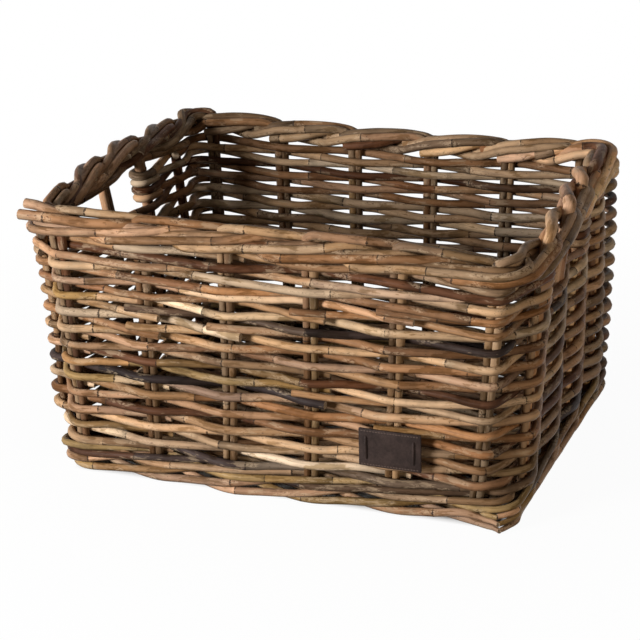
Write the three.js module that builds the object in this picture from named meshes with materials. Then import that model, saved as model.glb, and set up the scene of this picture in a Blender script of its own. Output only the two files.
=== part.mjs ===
// Woven rattan bicycle basket: paired stakes bent into a rolled border, plain woven walls with
// a handle hole in each end, a woven floor, and a leather label sewn low on the front.
// Millimetres, +Z up, the front faces -Y, origin at the middle of the underside.
import * as THREE from 'three';

// Overall shape, measured to the plane of the stakes: the rim, and how far the walls lean in
// from there to the foot
const TOP_HALF_LENGTH = 219;
const TOP_HALF_DEPTH = 171;
const END_LEAN = 12;
const LONG_LEAN = 5;
const CORNER_RADIUS = 20;

// Stakes: how many pairs on each wall, and how far the outermost pairs stand in from the ends of
// their wall
const LONG_PAIR_COUNT = 6;
const END_PAIR_COUNT = 4;
const LONG_INSET_FOOT = 20.75;
const LONG_INSET_TOP = 17.75;
const END_INSET_FRONT = 57.5;
const END_INSET_BACK = 43.5;

// Rods
const STAKE_RADIUS = 3.1;
const WEAVER_RADIUS = 3.7;
const FOOT_ROD_RADIUS = 3.5;
const FLOOR_ROD_RADIUS = 3.1;
const STAKE_SIDES = 5;
const WEAVER_SIDES = 4;
const FIT_GAP = 0.4;
const ROUNDING = 1e-9;

// Rows: full rows, rows that stop at the handle holes, and the space left between two rows
const FULL_ROWS = 21;
const HOLE_ROWS = 4;
const ROW_SPACE = 0.45;

// Bend where a stake leaves the floor, and the runs of floor rod between two runners, in front
// of the first runner and behind the last
const FOOT_BEND = 12;
const RUN_COUNT_BETWEEN = 4;
const RUN_COUNT_FRONT = 2;
const RUN_COUNT_BACK = 1;

// Border: how far its strands stand off the stakes, in strand widths, and how far the two
// strands of a pair keep apart along the rim, in bays
const BORDER_SPREAD_RATIO = 1.16;
const BORDER_LAG_RATIO = 0.025;

// Label, stitches and the place on the front where the label sits
const LABEL_LENGTH = 57;
const LABEL_HEIGHT = 35;
const LABEL_THICK = 2.2;
const LABEL_CORNER = 1.5;
const LABEL_LEFT_OF_PAIR = 1.5;
const LABEL_PAIR_INDEX = 4;
const LABEL_MIDDLE_HEIGHT = 65;
const STITCH_RADIUS = 0.7;
const STITCH_LENGTH = 11;
const STITCH_FROM_END = 6.5;

// Sizes that follow from the ones above
const FOOT_HALF_LENGTH = TOP_HALF_LENGTH - END_LEAN;
const FOOT_HALF_DEPTH = TOP_HALF_DEPTH - LONG_LEAN;
const STATIONS = 2 * (LONG_PAIR_COUNT + END_PAIR_COUNT);
const FLAT = Math.cos(Math.PI / STAKE_SIDES);
const PAIR_OFFSET = STAKE_RADIUS + FIT_GAP / 2;
const LONG_MIDDLE = (LONG_PAIR_COUNT - 1) / 2;
const END_MIDDLE = (END_PAIR_COUNT - 1) / 2;
const LONG_BAY_FOOT = (FOOT_HALF_LENGTH - LONG_INSET_FOOT) / LONG_MIDDLE;
const LONG_BAY_TOP = (TOP_HALF_LENGTH - LONG_INSET_TOP) / LONG_MIDDLE;
const END_BAY = (2 * FOOT_HALF_DEPTH - END_INSET_FRONT - END_INSET_BACK) / (END_PAIR_COUNT - 1);
const END_SHIFT = (END_INSET_FRONT - END_INSET_BACK) / 2;
const SHORT_BAY = LONG_INSET_FOOT + Math.min(END_INSET_FRONT, END_INSET_BACK);
const WEAVE = (STAKE_RADIUS + WEAVER_RADIUS + 1.5 * FIT_GAP) / (1 - (2 * PAIR_OFFSET) / SHORT_BAY);
const ROW_PITCH = 2 * WEAVER_RADIUS + ROW_SPACE;
const RUNNER_HEIGHT = STAKE_RADIUS * FLAT * Math.cos(Math.PI / 16);
const FLOOR_SLACK = ((4 * STAKE_RADIUS) / LONG_BAY_FOOT) * (PAIR_OFFSET + STAKE_RADIUS);
const FLOOR_UNDER = FLOOR_ROD_RADIUS + FIT_GAP / 4;
const WARP_HEIGHT = FLOOR_UNDER + FLOOR_ROD_RADIUS + STAKE_RADIUS * FLAT + FLOOR_SLACK;
const FLOOR_OVER = WARP_HEIGHT + STAKE_RADIUS + FLOOR_ROD_RADIUS + FIT_GAP + FLOOR_SLACK / 2;
const FOOT_REACH = STAKE_RADIUS + FOOT_ROD_RADIUS + FIT_GAP;
const FOOT_TOP = WARP_HEIGHT + FOOT_BEND;
const FOOT_LIFT = 2.5 * FIT_GAP;
const FIRST_ROW = FOOT_TOP + FOOT_LIFT + FOOT_ROD_RADIUS + WEAVER_RADIUS;
const ROWS = FULL_ROWS + HOLE_ROWS + 1;
const LAST_ROW = FIRST_ROW + (ROWS - 1) * ROW_PITCH;
const SLOT = 2 * STAKE_RADIUS + 2 * FIT_GAP;
const BORDER_LOW = LAST_ROW + WEAVER_RADIUS + STAKE_RADIUS + FIT_GAP;
const BORDER_MIDDLE = BORDER_LOW + 1.5 * SLOT;
const BORDER_OUT = SLOT * BORDER_SPREAD_RATIO;
const BORDER_BEND = STAKE_RADIUS * 1.6;

// Half length, half depth and bay of the walls at a height
function wallAt(z) {
  const t = z / BORDER_MIDDLE;
  return {
    hx: FOOT_HALF_LENGTH + END_LEAN * t,
    hy: FOOT_HALF_DEPTH + LONG_LEAN * t,
    bay: LONG_BAY_FOOT + (LONG_BAY_TOP - LONG_BAY_FOOT) * t,
  };
}

// Place of a stake pair along its wall
const longPlace = (i, z) => (i - LONG_MIDDLE) * wallAt(z).bay;
const endPlace = (j) => END_SHIFT + (j - END_MIDDLE) * END_BAY;

// The walls as a loop at one height: front, right, back, left, with an arc at each corner.
// Returns the length of the loop and the place of every stake pair along it.
function loopAt(z) {
  const { hx, hy } = wallAt(z);
  const sx = hx - CORNER_RADIUS;
  const sy = hy - CORNER_RADIUS;
  const arc = (Math.PI / 2) * CORNER_RADIUS;
  const right = 2 * sx + arc;
  const back = right + 2 * sy + arc;
  const left = back + 2 * sx + arc;
  const stops = [];
  for (let i = 0; i < LONG_PAIR_COUNT; i += 1) stops.push(longPlace(i, z) + sx);
  for (let j = 0; j < END_PAIR_COUNT; j += 1) stops.push(right + endPlace(j) + sy);
  for (let i = LONG_PAIR_COUNT - 1; i >= 0; i -= 1) stops.push(back + sx - longPlace(i, z));
  for (let j = END_PAIR_COUNT - 1; j >= 0; j -= 1) stops.push(left + sy - endPlace(j));
  return { sx, sy, arc, right, back, left, length: left + 2 * sy + arc, stops };
}

// Distance along the loop for a station number; stations are whole numbers, bays lie between
function along(loop, u) {
  const turns = Math.floor(u / STATIONS);
  const v = u - turns * STATIONS;
  const i = Math.floor(v);
  const from = loop.stops[i];
  const to = i + 1 < STATIONS ? loop.stops[i + 1] : loop.stops[0] + loop.length;
  return from + (to - from) * (v - i) + turns * loop.length;
}

// Point on the wall at station u and height z, n to the outside of the stakes
function onWall(u, n, z) {
  const loop = loopAt(z);
  const { sx, sy, arc } = loop;
  let s = along(loop, u);
  s = Math.min(s - Math.floor(s / loop.length) * loop.length, loop.length - ROUNDING);
  const sides = [
    [0, 2 * sx, -sx, -sy - CORNER_RADIUS, 1, 0],
    [loop.right, 2 * sy, sx + CORNER_RADIUS, -sy, 0, 1],
    [loop.back, 2 * sx, sx, sy + CORNER_RADIUS, -1, 0],
    [loop.left, 2 * sy, -sx - CORNER_RADIUS, sy, 0, -1],
  ];
  for (const [start, run, x, y, dx, dy] of sides) {
    const d = s - start;
    if (d <= run) return new THREE.Vector3(x + dx * d + dy * n, y + dy * d - dx * n, z);
    if (d <= run + arc) {
      const angle = (d - run) / CORNER_RADIUS;
      const cx = x + dx * run - dy * CORNER_RADIUS;
      const cy = y + dy * run + dx * CORNER_RADIUS;
      const ox = dy * Math.cos(angle) + dx * Math.sin(angle);
      const oy = -dx * Math.cos(angle) + dy * Math.sin(angle);
      const r = CORNER_RADIUS + n;
      return new THREE.Vector3(cx + ox * r, cy + oy * r, z);
    }
  }
  return null;
}

// Station numbers of points on the corner arcs, given as parts of an arc from its long wall
function cornerMarks(z, parts) {
  const loop = loopAt(z);
  const marks = [];
  const starts = [loop.right - loop.arc, loop.back - loop.arc, loop.left - loop.arc, loop.length - loop.arc];
  const before = [
    LONG_PAIR_COUNT - 1,
    LONG_PAIR_COUNT + END_PAIR_COUNT - 1,
    2 * LONG_PAIR_COUNT + END_PAIR_COUNT - 1,
    STATIONS - 1,
  ];
  starts.forEach((start, k) => {
    const from = loop.stops[before[k]];
    const to = along(loop, before[k] + 1);
    for (const part of parts) {
      const run = k % 2 === 0 ? part : 1 - part;
      marks.push(before[k] + (start + run * loop.arc - from) / (to - from));
    }
  });
  return marks;
}
const MARKS = cornerMarks(BORDER_MIDDLE / 2, [0.2, 0.8]);
const BORDER_MARKS = cornerMarks(BORDER_MIDDLE, [0.1, 0.5, 0.9]);

// Points of a rod given as [station, outwards, height], with extra points where it rounds a corner
function trace(knots, marks) {
  const points = [];
  knots.forEach(([u, n, z], k) => {
    points.push(onWall(u, n, z));
    if (k + 1 === knots.length) return;
    const [u2, n2, z2] = knots[k + 1];
    const low = Math.min(u, u2);
    const high = Math.max(u, u2);
    const between = [];
    for (let turn = Math.floor(low / STATIONS); turn <= Math.floor(high / STATIONS); turn += 1) {
      for (const mark of marks) {
        const m = mark + turn * STATIONS;
        if (m > low + 0.03 && m < high - 0.03) between.push(m);
      }
    }
    between.sort((a, b) => (u2 > u ? a - b : b - a));
    for (const m of between) {
      const t = (m - u) / (u2 - u);
      points.push(onWall(m, n + (n2 - n) * t, z + (z2 - z) * t));
    }
  });
  return points;
}

// A rod's centre line: straight from knot to knot, one ring of the section at every knot.
// The section stands upright all along or, for a rod that climbs, at the knot numbered level
// and is carried on from there without a twist.
class RodPath extends THREE.Curve {
  constructor(knots, level) {
    super();
    this.knots = knots;
    this.level = level;
  }

  getPoint(t) {
    const place = t * (this.knots.length - 1);
    const i = Math.min(Math.floor(place + ROUNDING), this.knots.length - 2);
    return this.knots[i].clone().lerp(this.knots[i + 1], place - i);
  }

  getPointAt(t) {
    return this.getPoint(t);
  }

  tangentAtKnot(i) {
    const last = this.knots.length - 1;
    const before = this.knots[i].clone().sub(this.knots[Math.max(i - 1, 0)]).normalize();
    const after = this.knots[Math.min(i + 1, last)].clone().sub(this.knots[i]).normalize();
    return before.add(after).normalize();
  }

  computeFrenetFrames(segments) {
    const tangents = [];
    for (let i = 0; i <= segments; i += 1) tangents.push(this.tangentAtKnot(i));
    const upright = (t) => new THREE.Vector3(0, 0, 1).addScaledVector(t, -t.z).normalize();
    const normals = tangents.map(upright);
    const carry = (i, j) => {
      const turn = new THREE.Quaternion().setFromUnitVectors(tangents[i], tangents[j]);
      normals[j] = normals[i].clone().applyQuaternion(turn);
    };
    if (this.level !== undefined) {
      for (let i = this.level; i < segments; i += 1) carry(i, i + 1);
      for (let i = this.level; i > 0; i -= 1) carry(i, i - 1);
    }
    const binormals = normals.map((normal, i) => tangents[i].clone().cross(normal));
    return { tangents, normals, binormals };
  }
}

// A round rod along a centre line
function rod(points, radius, sides, level) {
  const section = new THREE.Shape();
  for (let k = 0; k < sides; k += 1) {
    const a = (2 * Math.PI * k) / sides;
    const x = radius * Math.cos(a);
    const y = radius * Math.sin(a);
    if (k === 0) section.moveTo(x, y);
    else section.lineTo(x, y);
  }
  section.closePath();
  const path = new RodPath(points, level);
  return new THREE.ExtrudeGeometry(section, { steps: points.length - 1, extrudePath: path });
}

// Cut a little off the end of a rod so that it butts against its own start
function cutBack(points, length) {
  const last = points[points.length - 1];
  const before = points[points.length - 2];
  last.lerp(before, length / last.distanceTo(before));
  return points;
}

const MATERIALS = {
  weaver: new THREE.MeshStandardMaterial({ name: 'rattan_weaver', color: 0x7d5c40, roughness: 0.7 }),
  stake: new THREE.MeshStandardMaterial({ name: 'rattan_stake', color: 0x8a6848, roughness: 0.7 }),
  leather: new THREE.MeshStandardMaterial({ name: 'leather', color: 0x3e3330, roughness: 0.75 }),
  thread: new THREE.MeshStandardMaterial({ name: 'thread', color: 0x55473d, roughness: 0.85 }),
};

const basket = new THREE.Group();
basket.name = 'bicycle_basket';

function add(name, geometry, material) {
  const mesh = new THREE.Mesh(geometry, MATERIALS[material]);
  mesh.name = name;
  basket.add(mesh);
}

const two = (k) => String(k).padStart(2, '0');
const rowHeight = (row) => FIRST_ROW + row * ROW_PITCH;
const side = (station, row) => ((station + row) % 2 === 0 ? WEAVE : -WEAVE);

// Full rows: one rod round the basket, over one pair and under the next, its ends meeting inside
function fullRow(row, z) {
  const start = 2 * LONG_PAIR_COUNT + END_PAIR_COUNT - 6 + ((row * 2) % 5) + ((row + 1) % 2);
  const first = (start + row) % 2 === 0 ? start + 1 : start;
  const knots = [];
  for (let k = 0; k <= STATIONS; k += 1) knots.push([first + k, side(first + k, row), z]);
  return rod(cutBack(trace(knots, MARKS), FIT_GAP * 2), WEAVER_RADIUS, WEAVER_SIDES);
}
for (let row = 0; row < FULL_ROWS; row += 1) {
  add(`row_${two(row + 1)}`, fullRow(row, rowHeight(row)), 'weaver');
}
add('row_under_border', fullRow(ROWS - 1, LAST_ROW), 'weaver');

// Rows that stop at the handle holes: one rod turns back round the pair at each side of the hole
function holeRows(from, to) {
  const knots = [];
  const reach = (PAIR_OFFSET + STAKE_RADIUS + WEAVER_RADIUS + FIT_GAP) / END_BAY;
  for (let k = 0; k < HOLE_ROWS; k += 1) {
    const row = FULL_ROWS + k;
    const forward = k % 2 === 0;
    const z = rowHeight(row);
    for (let step = 0; step <= to - from; step += 1) {
      const u = forward ? from + step : to - step;
      knots.push([u, side(u + STATIONS, row), z]);
    }
    if (k + 1 === HOLE_ROWS) break;
    const end = forward ? to : from;
    const away = forward ? reach : -reach;
    const n = side(end + STATIONS, row);
    knots.push([end + away * 0.66, n * 0.9, z + ROW_PITCH * 0.1]);
    knots.push([end + away * 1.05, 0, z + ROW_PITCH * 0.5]);
    knots.push([end + away * 0.66, -n * 0.9, z + ROW_PITCH * 0.9]);
  }
  return rod(trace(knots, MARKS), WEAVER_RADIUS, WEAVER_SIDES);
}
const FIRST_END = LONG_PAIR_COUNT;
const LAST_END = STATIONS - 1;
add('hole_rows_front', holeRows(-1, FIRST_END), 'weaver');
add('hole_rows_back', holeRows(FIRST_END + 2, LAST_END - 2), 'weaver');

// Foot: three rods twisted round the stakes, each outside two pairs and inside the third.
// The places of one turn, half a bay apart: rising outside, over the top, inside, and under.
const FOOT_ROUND = [
  [FOOT_REACH * 0.68, WARP_HEIGHT * 0.6],
  [FOOT_REACH * 0.95, WARP_HEIGHT * 1.14],
  [FOOT_REACH * 1.12, WARP_HEIGHT * 1.55],
  [0, FOOT_TOP - 1.5 * FIT_GAP],
  [-FOOT_REACH * 1.2, FOOT_TOP + FOOT_LIFT],
  [0, WARP_HEIGHT * 0.92],
];
const FOOT_START = LONG_PAIR_COUNT + END_PAIR_COUNT + 2;
function footRod(which) {
  const knots = [];
  for (let half = 0; half <= 2 * STATIONS; half += 1) {
    const [n, z] = FOOT_ROUND[(half + 2 * which) % FOOT_ROUND.length];
    knots.push([FOOT_START + half / 2, n, z]);
  }
  return rod(cutBack(trace(knots, MARKS), FIT_GAP * 6), FOOT_ROD_RADIUS, WEAVER_SIDES);
}
for (let which = 0; which < 3; which += 1) add(`foot_rod_${which + 1}`, footRod(which), 'weaver');

// Border: each stake passes behind the next pair, outside two more, over the top and ends inside.
// The leading rod of a pair lies below the trailing one all the way.
function borderKnots(station, leading) {
  const z = BORDER_MIDDLE + (leading ? -0.5 : 0.5) * SLOT;
  const loop = loopAt(BORDER_MIDDLE);
  const bay = along(loop, station + 1) - along(loop, station);
  const bayBefore = along(loop, station) - along(loop, station - 1);
  const at = leading ? PAIR_OFFSET / bay : -PAIR_OFFSET / bayBefore;
  const lag = leading ? -BORDER_LAG_RATIO : BORDER_LAG_RATIO;
  return [
    [station + at, 0, z + SLOT - BORDER_BEND],
    [station + at + BORDER_BEND / bay, -0.1 * BORDER_OUT, z + SLOT],
    [station + 0.35 + lag, -BORDER_OUT, z + SLOT],
    [station + 0.65 + lag, -BORDER_OUT, z - SLOT],
    [station + 1.05, -BORDER_OUT, z - SLOT],
    [station + 1.95, BORDER_OUT, z - SLOT],
    [station + 2.35 - lag, BORDER_OUT, z - SLOT],
    [station + 2.65 - lag, BORDER_OUT, z + SLOT],
    [station + 3.12, BORDER_OUT, z + SLOT],
    [station + 3.91, -0.95 * BORDER_OUT, z + SLOT],
  ];
}

// A stake rod: border strand, down one wall, across the floor, up the other wall, border strand.
// onFloor gives a point at one end of the floor, so far in from the wall and so high.
function stakeRod(station, opposite, leading, height, onFloor) {
  const first = trace(borderKnots(station, leading.first), BORDER_MARKS).reverse();
  const last = trace(borderKnots(opposite, leading.last), BORDER_MARKS);
  const bend = (end) => {
    const points = [];
    for (const part of [0, 0.5, 1]) {
      const a = (part * Math.PI) / 2;
      const depth = FOOT_BEND * (1 - Math.cos(a));
      points.push(onFloor(end, depth, height + FOOT_BEND * (1 - Math.sin(a))));
    }
    return points;
  };
  const down = bend(0);
  const up = bend(1).reverse();
  const level = first.length + down.length - 1;
  return rod([...first, ...down, ...up, ...last], STAKE_RADIUS, STAKE_SIDES, level);
}

// Pairs that run from the front to the back, over the runners
for (let i = 0; i < LONG_PAIR_COUNT; i += 1) {
  const opposite = 2 * LONG_PAIR_COUNT + END_PAIR_COUNT - 1 - i;
  const { hy } = wallAt(FOOT_TOP);
  ['a', 'b'].forEach((letter, k) => {
    const x = longPlace(i, FOOT_TOP) + (k === 0 ? -PAIR_OFFSET : PAIR_OFFSET);
    const onFloor = (end, depth, z) => new THREE.Vector3(x, (end === 0 ? -1 : 1) * (hy - depth), z);
    const leading = { first: k === 1, last: k === 0 };
    const geometry = stakeRod(i, opposite, leading, WARP_HEIGHT, onFloor);
    add(`long_wall_stake_${i + 1}${letter}`, geometry, 'stake');
  });
}

// Pairs that run from end to end as the runners the basket stands on
for (let j = 0; j < END_PAIR_COUNT; j += 1) {
  const right = LONG_PAIR_COUNT + j;
  const left = STATIONS - 1 - j;
  const { hx } = wallAt(RUNNER_HEIGHT + FOOT_BEND);
  ['a', 'b'].forEach((letter, k) => {
    const y = endPlace(j) + (k === 0 ? -PAIR_OFFSET : PAIR_OFFSET);
    const onFloor = (end, depth, z) => new THREE.Vector3((end === 0 ? 1 : -1) * (hx - depth), y, z);
    const leading = { first: k === 1, last: k === 0 };
    const geometry = stakeRod(right, left, leading, RUNNER_HEIGHT, onFloor);
    add(`end_wall_stake_${j + 1}${letter}`, geometry, 'stake');
  });
}

// Floor rows: rods woven to and fro over and under the front-to-back pairs, between the runners
function floorRod(places, firstRun) {
  const points = [];
  const reach = PAIR_OFFSET + STAKE_RADIUS + FLOOR_ROD_RADIUS + FIT_GAP;
  const height = (i, run) => ((i + run) % 2 === 0 ? FLOOR_OVER : FLOOR_UNDER);
  places.forEach((y, k) => {
    const forward = k % 2 === 0;
    for (let c = 0; c < LONG_PAIR_COUNT; c += 1) {
      const i = forward ? c : LONG_PAIR_COUNT - 1 - c;
      points.push(new THREE.Vector3(longPlace(i, WARP_HEIGHT), y, height(i, k + firstRun)));
    }
    if (k + 1 === places.length) return;
    const end = forward ? LONG_PAIR_COUNT - 1 : 0;
    const z = height(end, k + firstRun);
    const z2 = height(end, k + 1 + firstRun);
    for (const [out, t] of [[0.8, 0.08], [1.12, 0.5], [0.8, 0.92]]) {
      const x = longPlace(end, WARP_HEIGHT) + (forward ? reach : -reach) * out;
      points.push(new THREE.Vector3(x, y + (places[k + 1] - y) * t, z + (z2 - z) * t));
    }
  });
  const ends = [points[0].clone(), points[points.length - 1].clone()];
  for (const end of ends) end.x += Math.sign(end.x) * reach * 0.8;
  return rod([ends[0], ...points, ends[1]], FLOOR_ROD_RADIUS, WEAVER_SIDES);
}
const RUN_SPACE = END_BAY / (RUN_COUNT_BETWEEN + 1);
let runs = 0;
for (let gap = 0; gap <= END_PAIR_COUNT; gap += 1) {
  const first = gap === 0 ? RUN_COUNT_BETWEEN + 1 - RUN_COUNT_FRONT : 1;
  const last = gap === END_PAIR_COUNT ? RUN_COUNT_BACK : RUN_COUNT_BETWEEN;
  const places = [];
  for (let k = first; k <= last; k += 1) places.push(endPlace(gap - 1) + k * RUN_SPACE);
  add(`floor_rod_${gap + 1}`, floorRod(places, runs), 'weaver');
  runs += places.length;
}

// Label: a leather plate with punched holes, against the outside of the rows
const LABEL_OUT = WEAVE + WEAVER_RADIUS + FIT_GAP;
const LABEL_X = longPlace(LABEL_PAIR_INDEX, LABEL_MIDDLE_HEIGHT) - LABEL_LEFT_OF_PAIR;
const STITCH_X = LABEL_LENGTH / 2 - STITCH_FROM_END;
function onFront(geometry) {
  const { hy } = wallAt(LABEL_MIDDLE_HEIGHT);
  const lean = Math.atan(LONG_LEAN / BORDER_MIDDLE);
  geometry.rotateX(Math.PI / 2 + lean);
  geometry.translate(LABEL_X, -hy - LABEL_OUT, LABEL_MIDDLE_HEIGHT);
  return geometry;
}
function labelPlate() {
  const w = LABEL_LENGTH / 2;
  const h = LABEL_HEIGHT / 2;
  const r = LABEL_CORNER;
  const shape = new THREE.Shape();
  shape.moveTo(-w + r, -h);
  shape.lineTo(w - r, -h);
  shape.quadraticCurveTo(w, -h, w, -h + r);
  shape.lineTo(w, h - r);
  shape.quadraticCurveTo(w, h, w - r, h);
  shape.lineTo(-w + r, h);
  shape.quadraticCurveTo(-w, h, -w, h - r);
  shape.lineTo(-w, -h + r);
  shape.quadraticCurveTo(-w, -h, -w + r, -h);
  for (const x of [-STITCH_X, STITCH_X]) {
    for (const y of [-STITCH_LENGTH / 2, STITCH_LENGTH / 2]) {
      const hole = new THREE.Path();
      hole.absarc(x, y, STITCH_RADIUS + FIT_GAP, 0, 2 * Math.PI, true);
      shape.holes.push(hole);
    }
  }
  return new THREE.ExtrudeGeometry(shape, { depth: LABEL_THICK, bevelEnabled: false, curveSegments: 3 });
}
add('label', onFront(labelPlate()), 'leather');

// Stitches: thread loops through the holes of the label
function stitch(x) {
  const front = LABEL_THICK + STITCH_RADIUS + FIT_GAP / 8;
  const h = STITCH_LENGTH / 2;
  const points = [
    [-h, -2 * STITCH_RADIUS],
    [-h, front - STITCH_RADIUS],
    [-h + STITCH_RADIUS, front],
    [h - STITCH_RADIUS, front],
    [h, front - STITCH_RADIUS],
    [h, -2 * STITCH_RADIUS],
  ].map(([y, z]) => new THREE.Vector3(x, y, z));
  return rod(points, STITCH_RADIUS, WEAVER_SIDES, 2);
}
add('stitch_left', onFront(stitch(-STITCH_X)), 'thread');
add('stitch_right', onFront(stitch(STITCH_X)), 'thread');

export default basket;
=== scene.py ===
# %% [markdown]
# # A woven bicycle basket
# The basket is rattan rods and one small leather label. Stakes stand in pairs, weavers go
# round them, and the border is made of the stakes' own ends. A weave is easiest to follow as
# a set of paths, so every rod here is a curve with a round bevel, turned into a mesh at the
# end. Lengths are in millimetres until a piece becomes an object, which is in metres.

# %% Load the frame
import functools
import math
import random

import bpy
import numpy as np
from mathutils import Matrix, Vector


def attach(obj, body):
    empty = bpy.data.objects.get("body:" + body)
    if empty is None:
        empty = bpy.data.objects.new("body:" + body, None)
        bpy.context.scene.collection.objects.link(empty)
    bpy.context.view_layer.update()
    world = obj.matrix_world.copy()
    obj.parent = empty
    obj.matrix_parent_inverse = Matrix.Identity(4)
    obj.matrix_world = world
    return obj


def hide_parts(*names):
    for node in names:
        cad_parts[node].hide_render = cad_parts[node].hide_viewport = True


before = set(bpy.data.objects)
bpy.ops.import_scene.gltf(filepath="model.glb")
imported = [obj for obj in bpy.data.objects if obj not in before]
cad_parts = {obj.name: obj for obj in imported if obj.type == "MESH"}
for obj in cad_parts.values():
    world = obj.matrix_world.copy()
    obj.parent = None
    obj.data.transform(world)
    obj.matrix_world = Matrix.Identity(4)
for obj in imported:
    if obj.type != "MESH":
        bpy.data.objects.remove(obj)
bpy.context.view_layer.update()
bpy.ops.object.select_all(action="DESELECT")
scene = bpy.context.scene
MM = 0.001
print("loaded", len(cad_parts), "nodes")

# %% [markdown]
# The camera stands to the right of the front and looks down on the basket. Its place and
# directions come from fitting the outlines of the rim and the foot, and a long lens keeps the
# far wall nearly as large as the near one.

# %% Camera
CAMERA_PLACE = (0.6708, -1.7997, 0.8330)
CAMERA_RIGHT = (0.9364, 0.3505, -0.0175)
CAMERA_UP = (-0.1086, 0.3368, 0.9353)
CAMERA_BACK = (0.3337, -0.8739, 0.3535)
CAMERA_SENSOR, CAMERA_LENS = 36, 121.84
camera_data = bpy.data.cameras.new("camera")
camera_data.sensor_width = CAMERA_SENSOR
camera_data.lens = CAMERA_LENS
camera = bpy.data.objects.new("camera", camera_data)
scene.collection.objects.link(camera)
turn = Matrix((CAMERA_RIGHT, CAMERA_UP, CAMERA_BACK)).transposed()
camera.matrix_world = Matrix.Translation(CAMERA_PLACE) @ turn.to_4x4()
scene.camera = camera
scene.view_settings.view_transform = "Standard"
print("camera at", CAMERA_PLACE)

# %% [markdown]
# Materials are made of shader nodes. This class adds them by short calls, so that a finish
# reads as a list of layers. What goes into a node is a plain value or another node's output.


# %% Node helper
class NodeSheet:
    """The shader nodes of one material, or of the surroundings."""

    def __init__(self, owner, output):
        owner.use_nodes = True
        self.nodes, self.links = owner.node_tree.nodes, owner.node_tree.links
        self.nodes.clear()
        self.output = self.add(output)

    def put(self, value, socket):
        """Links an output to an input, or sets a plain value."""
        if isinstance(value, bpy.types.NodeSocket):
            self.links.new(value, socket)
        else:
            socket.default_value = value

    def add(self, kind, **values):
        """A node with some of its inputs linked or set."""
        node = self.nodes.new("ShaderNode" + kind)
        for name, value in values.items():
            self.put(value, node.inputs[name.replace("_", " ")])
        return node

    def worked(self, kind, *terms):
        """A sum on values."""
        node = self.add("Math")
        node.operation = kind
        for term, socket in zip(terms, node.inputs):
            self.put(term, socket)
        return node.outputs[0]

    def eased(self, value, start, end, first, last):
        """From first to last while a value goes from start to end."""
        return self.add("MapRange", Value=value, From_Min=start, From_Max=end,
                        To_Min=first, To_Max=last).outputs["Result"]

    def noise(self, source, stretch=(1, 1, 1), **values):
        """Noise on some coordinates, stretched."""
        place = self.add("Mapping", Vector=source, Scale=stretch).outputs["Vector"]
        return self.add("TexNoise", Vector=place, **{"Scale": 1, **values}).outputs["Fac"]

    def ramp(self, value, *stops):
        """A value turned into another, through stops of place and value."""
        node = self.add("ValToRGB", Fac=value)
        steps = node.color_ramp.elements
        while len(steps) < len(stops):
            steps.new(0.5)
        for step, (place, level) in zip(steps, stops):
            step.position = place
            step.color = (level, level, level, 1)
        return node.outputs["Color"]

    def mix(self, kind, factor, first, second):
        """Two colours mixed by a factor."""
        node = self.add("Mix")
        node.data_type = "RGBA"
        node.blend_type = kind
        for value, place in ((factor, 0), (first, 6), (second, 7)):
            self.put(value, node.inputs[place])
        return node.outputs[2]

    def carried(self, name):
        """The outputs of an attribute that the mesh carries."""
        node = self.add("Attribute")
        node.attribute_name = name
        return node.outputs

    def place(self):
        """The place on the object."""
        return self.add("TexCoord").outputs["Object"]

    def seen(self):
        """One for the camera, a reflection or a view through glass."""
        path = self.add("LightPath").outputs
        seen = self.worked("MAXIMUM", path["Is Camera Ray"], path["Is Glossy Ray"])
        return self.worked("MAXIMUM", seen, path["Is Transmission Ray"])

    def show(self, shader):
        """Puts a shader on the surface."""
        self.links.new(shader.outputs[0], self.output.inputs["Surface"])

    def show_both(self, factor, first, second):
        """Puts two shaders on the surface, mixed by a factor."""
        mix = self.add("MixShader", Fac=factor)
        self.links.new(first.outputs[0], mix.inputs[1])
        self.links.new(second.outputs[0], mix.inputs[2])
        self.show(mix)

    def show_rough(self, colour, height, strength, depth, **values):
        """Puts a colour on the surface, with small bumps."""
        bump = self.add("Bump", Strength=strength, Distance=depth, Height=height)
        self.show(self.add("BsdfPrincipled", Base_Color=colour,
                           Normal=bump.outputs["Normal"], **values))


def new_material(name):
    """A new material and its nodes."""
    material = bpy.data.materials.new(name)
    return material, NodeSheet(material, "OutputMaterial")


print("node helper ready")

# %% [markdown]
# The camera sees nearly all of the studio floor as plain white, through the light path. A
# small share is real diffuse white, so that the basket keeps a trace of its soft shadow.
# Under the basket it isn't plain white, or the gaps near the foot would shine. To other rays
# the floor is dark, or it would light the rods from below. The surroundings are white to the
# camera as well, and a faint warm fill to the rods.

# %% Floor and surroundings
FLOOR_SIZE = 16
FLOOR_SEEN, FLOOR_BOUNCE = 0.95, 0.16
SHADOW_SHARE, SHADOW_REACH = 0.04, (0.25, 0.7)
COVERED = (("X", 0.01, 0.209), ("Y", 0, 0.174))
COVER_EDGE = 0.012
FILL_COLOUR, FILL_STRENGTH = (1, 0.78, 0.55, 1), 0.015
bpy.ops.mesh.primitive_plane_add(size=FLOOR_SIZE, location=(0, 0, 0))
floor = bpy.context.object
floor.name = "floor"
material, sheet = new_material("studio_floor")
seen, place = sheet.seen(), sheet.place()
axes = sheet.add("SeparateXYZ", Vector=place).outputs
covered = []
for axis, middle, half in COVERED:
    off = sheet.worked("ABSOLUTE", sheet.worked("SUBTRACT", axes[axis], middle))
    covered.append(sheet.eased(off, half - COVER_EDGE, half, 1, 0))
bare = sheet.worked("SUBTRACT", 1, sheet.worked("MULTIPLY", *covered))
apart = sheet.add("VectorMath")
apart.operation = "LENGTH"
sheet.links.new(place, apart.inputs[0])
plain = sheet.eased(apart.outputs["Value"], *SHADOW_REACH, 1 - SHADOW_SHARE, 1)
share = sheet.worked("MULTIPLY", sheet.worked("MULTIPLY", seen, plain), bare)
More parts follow.
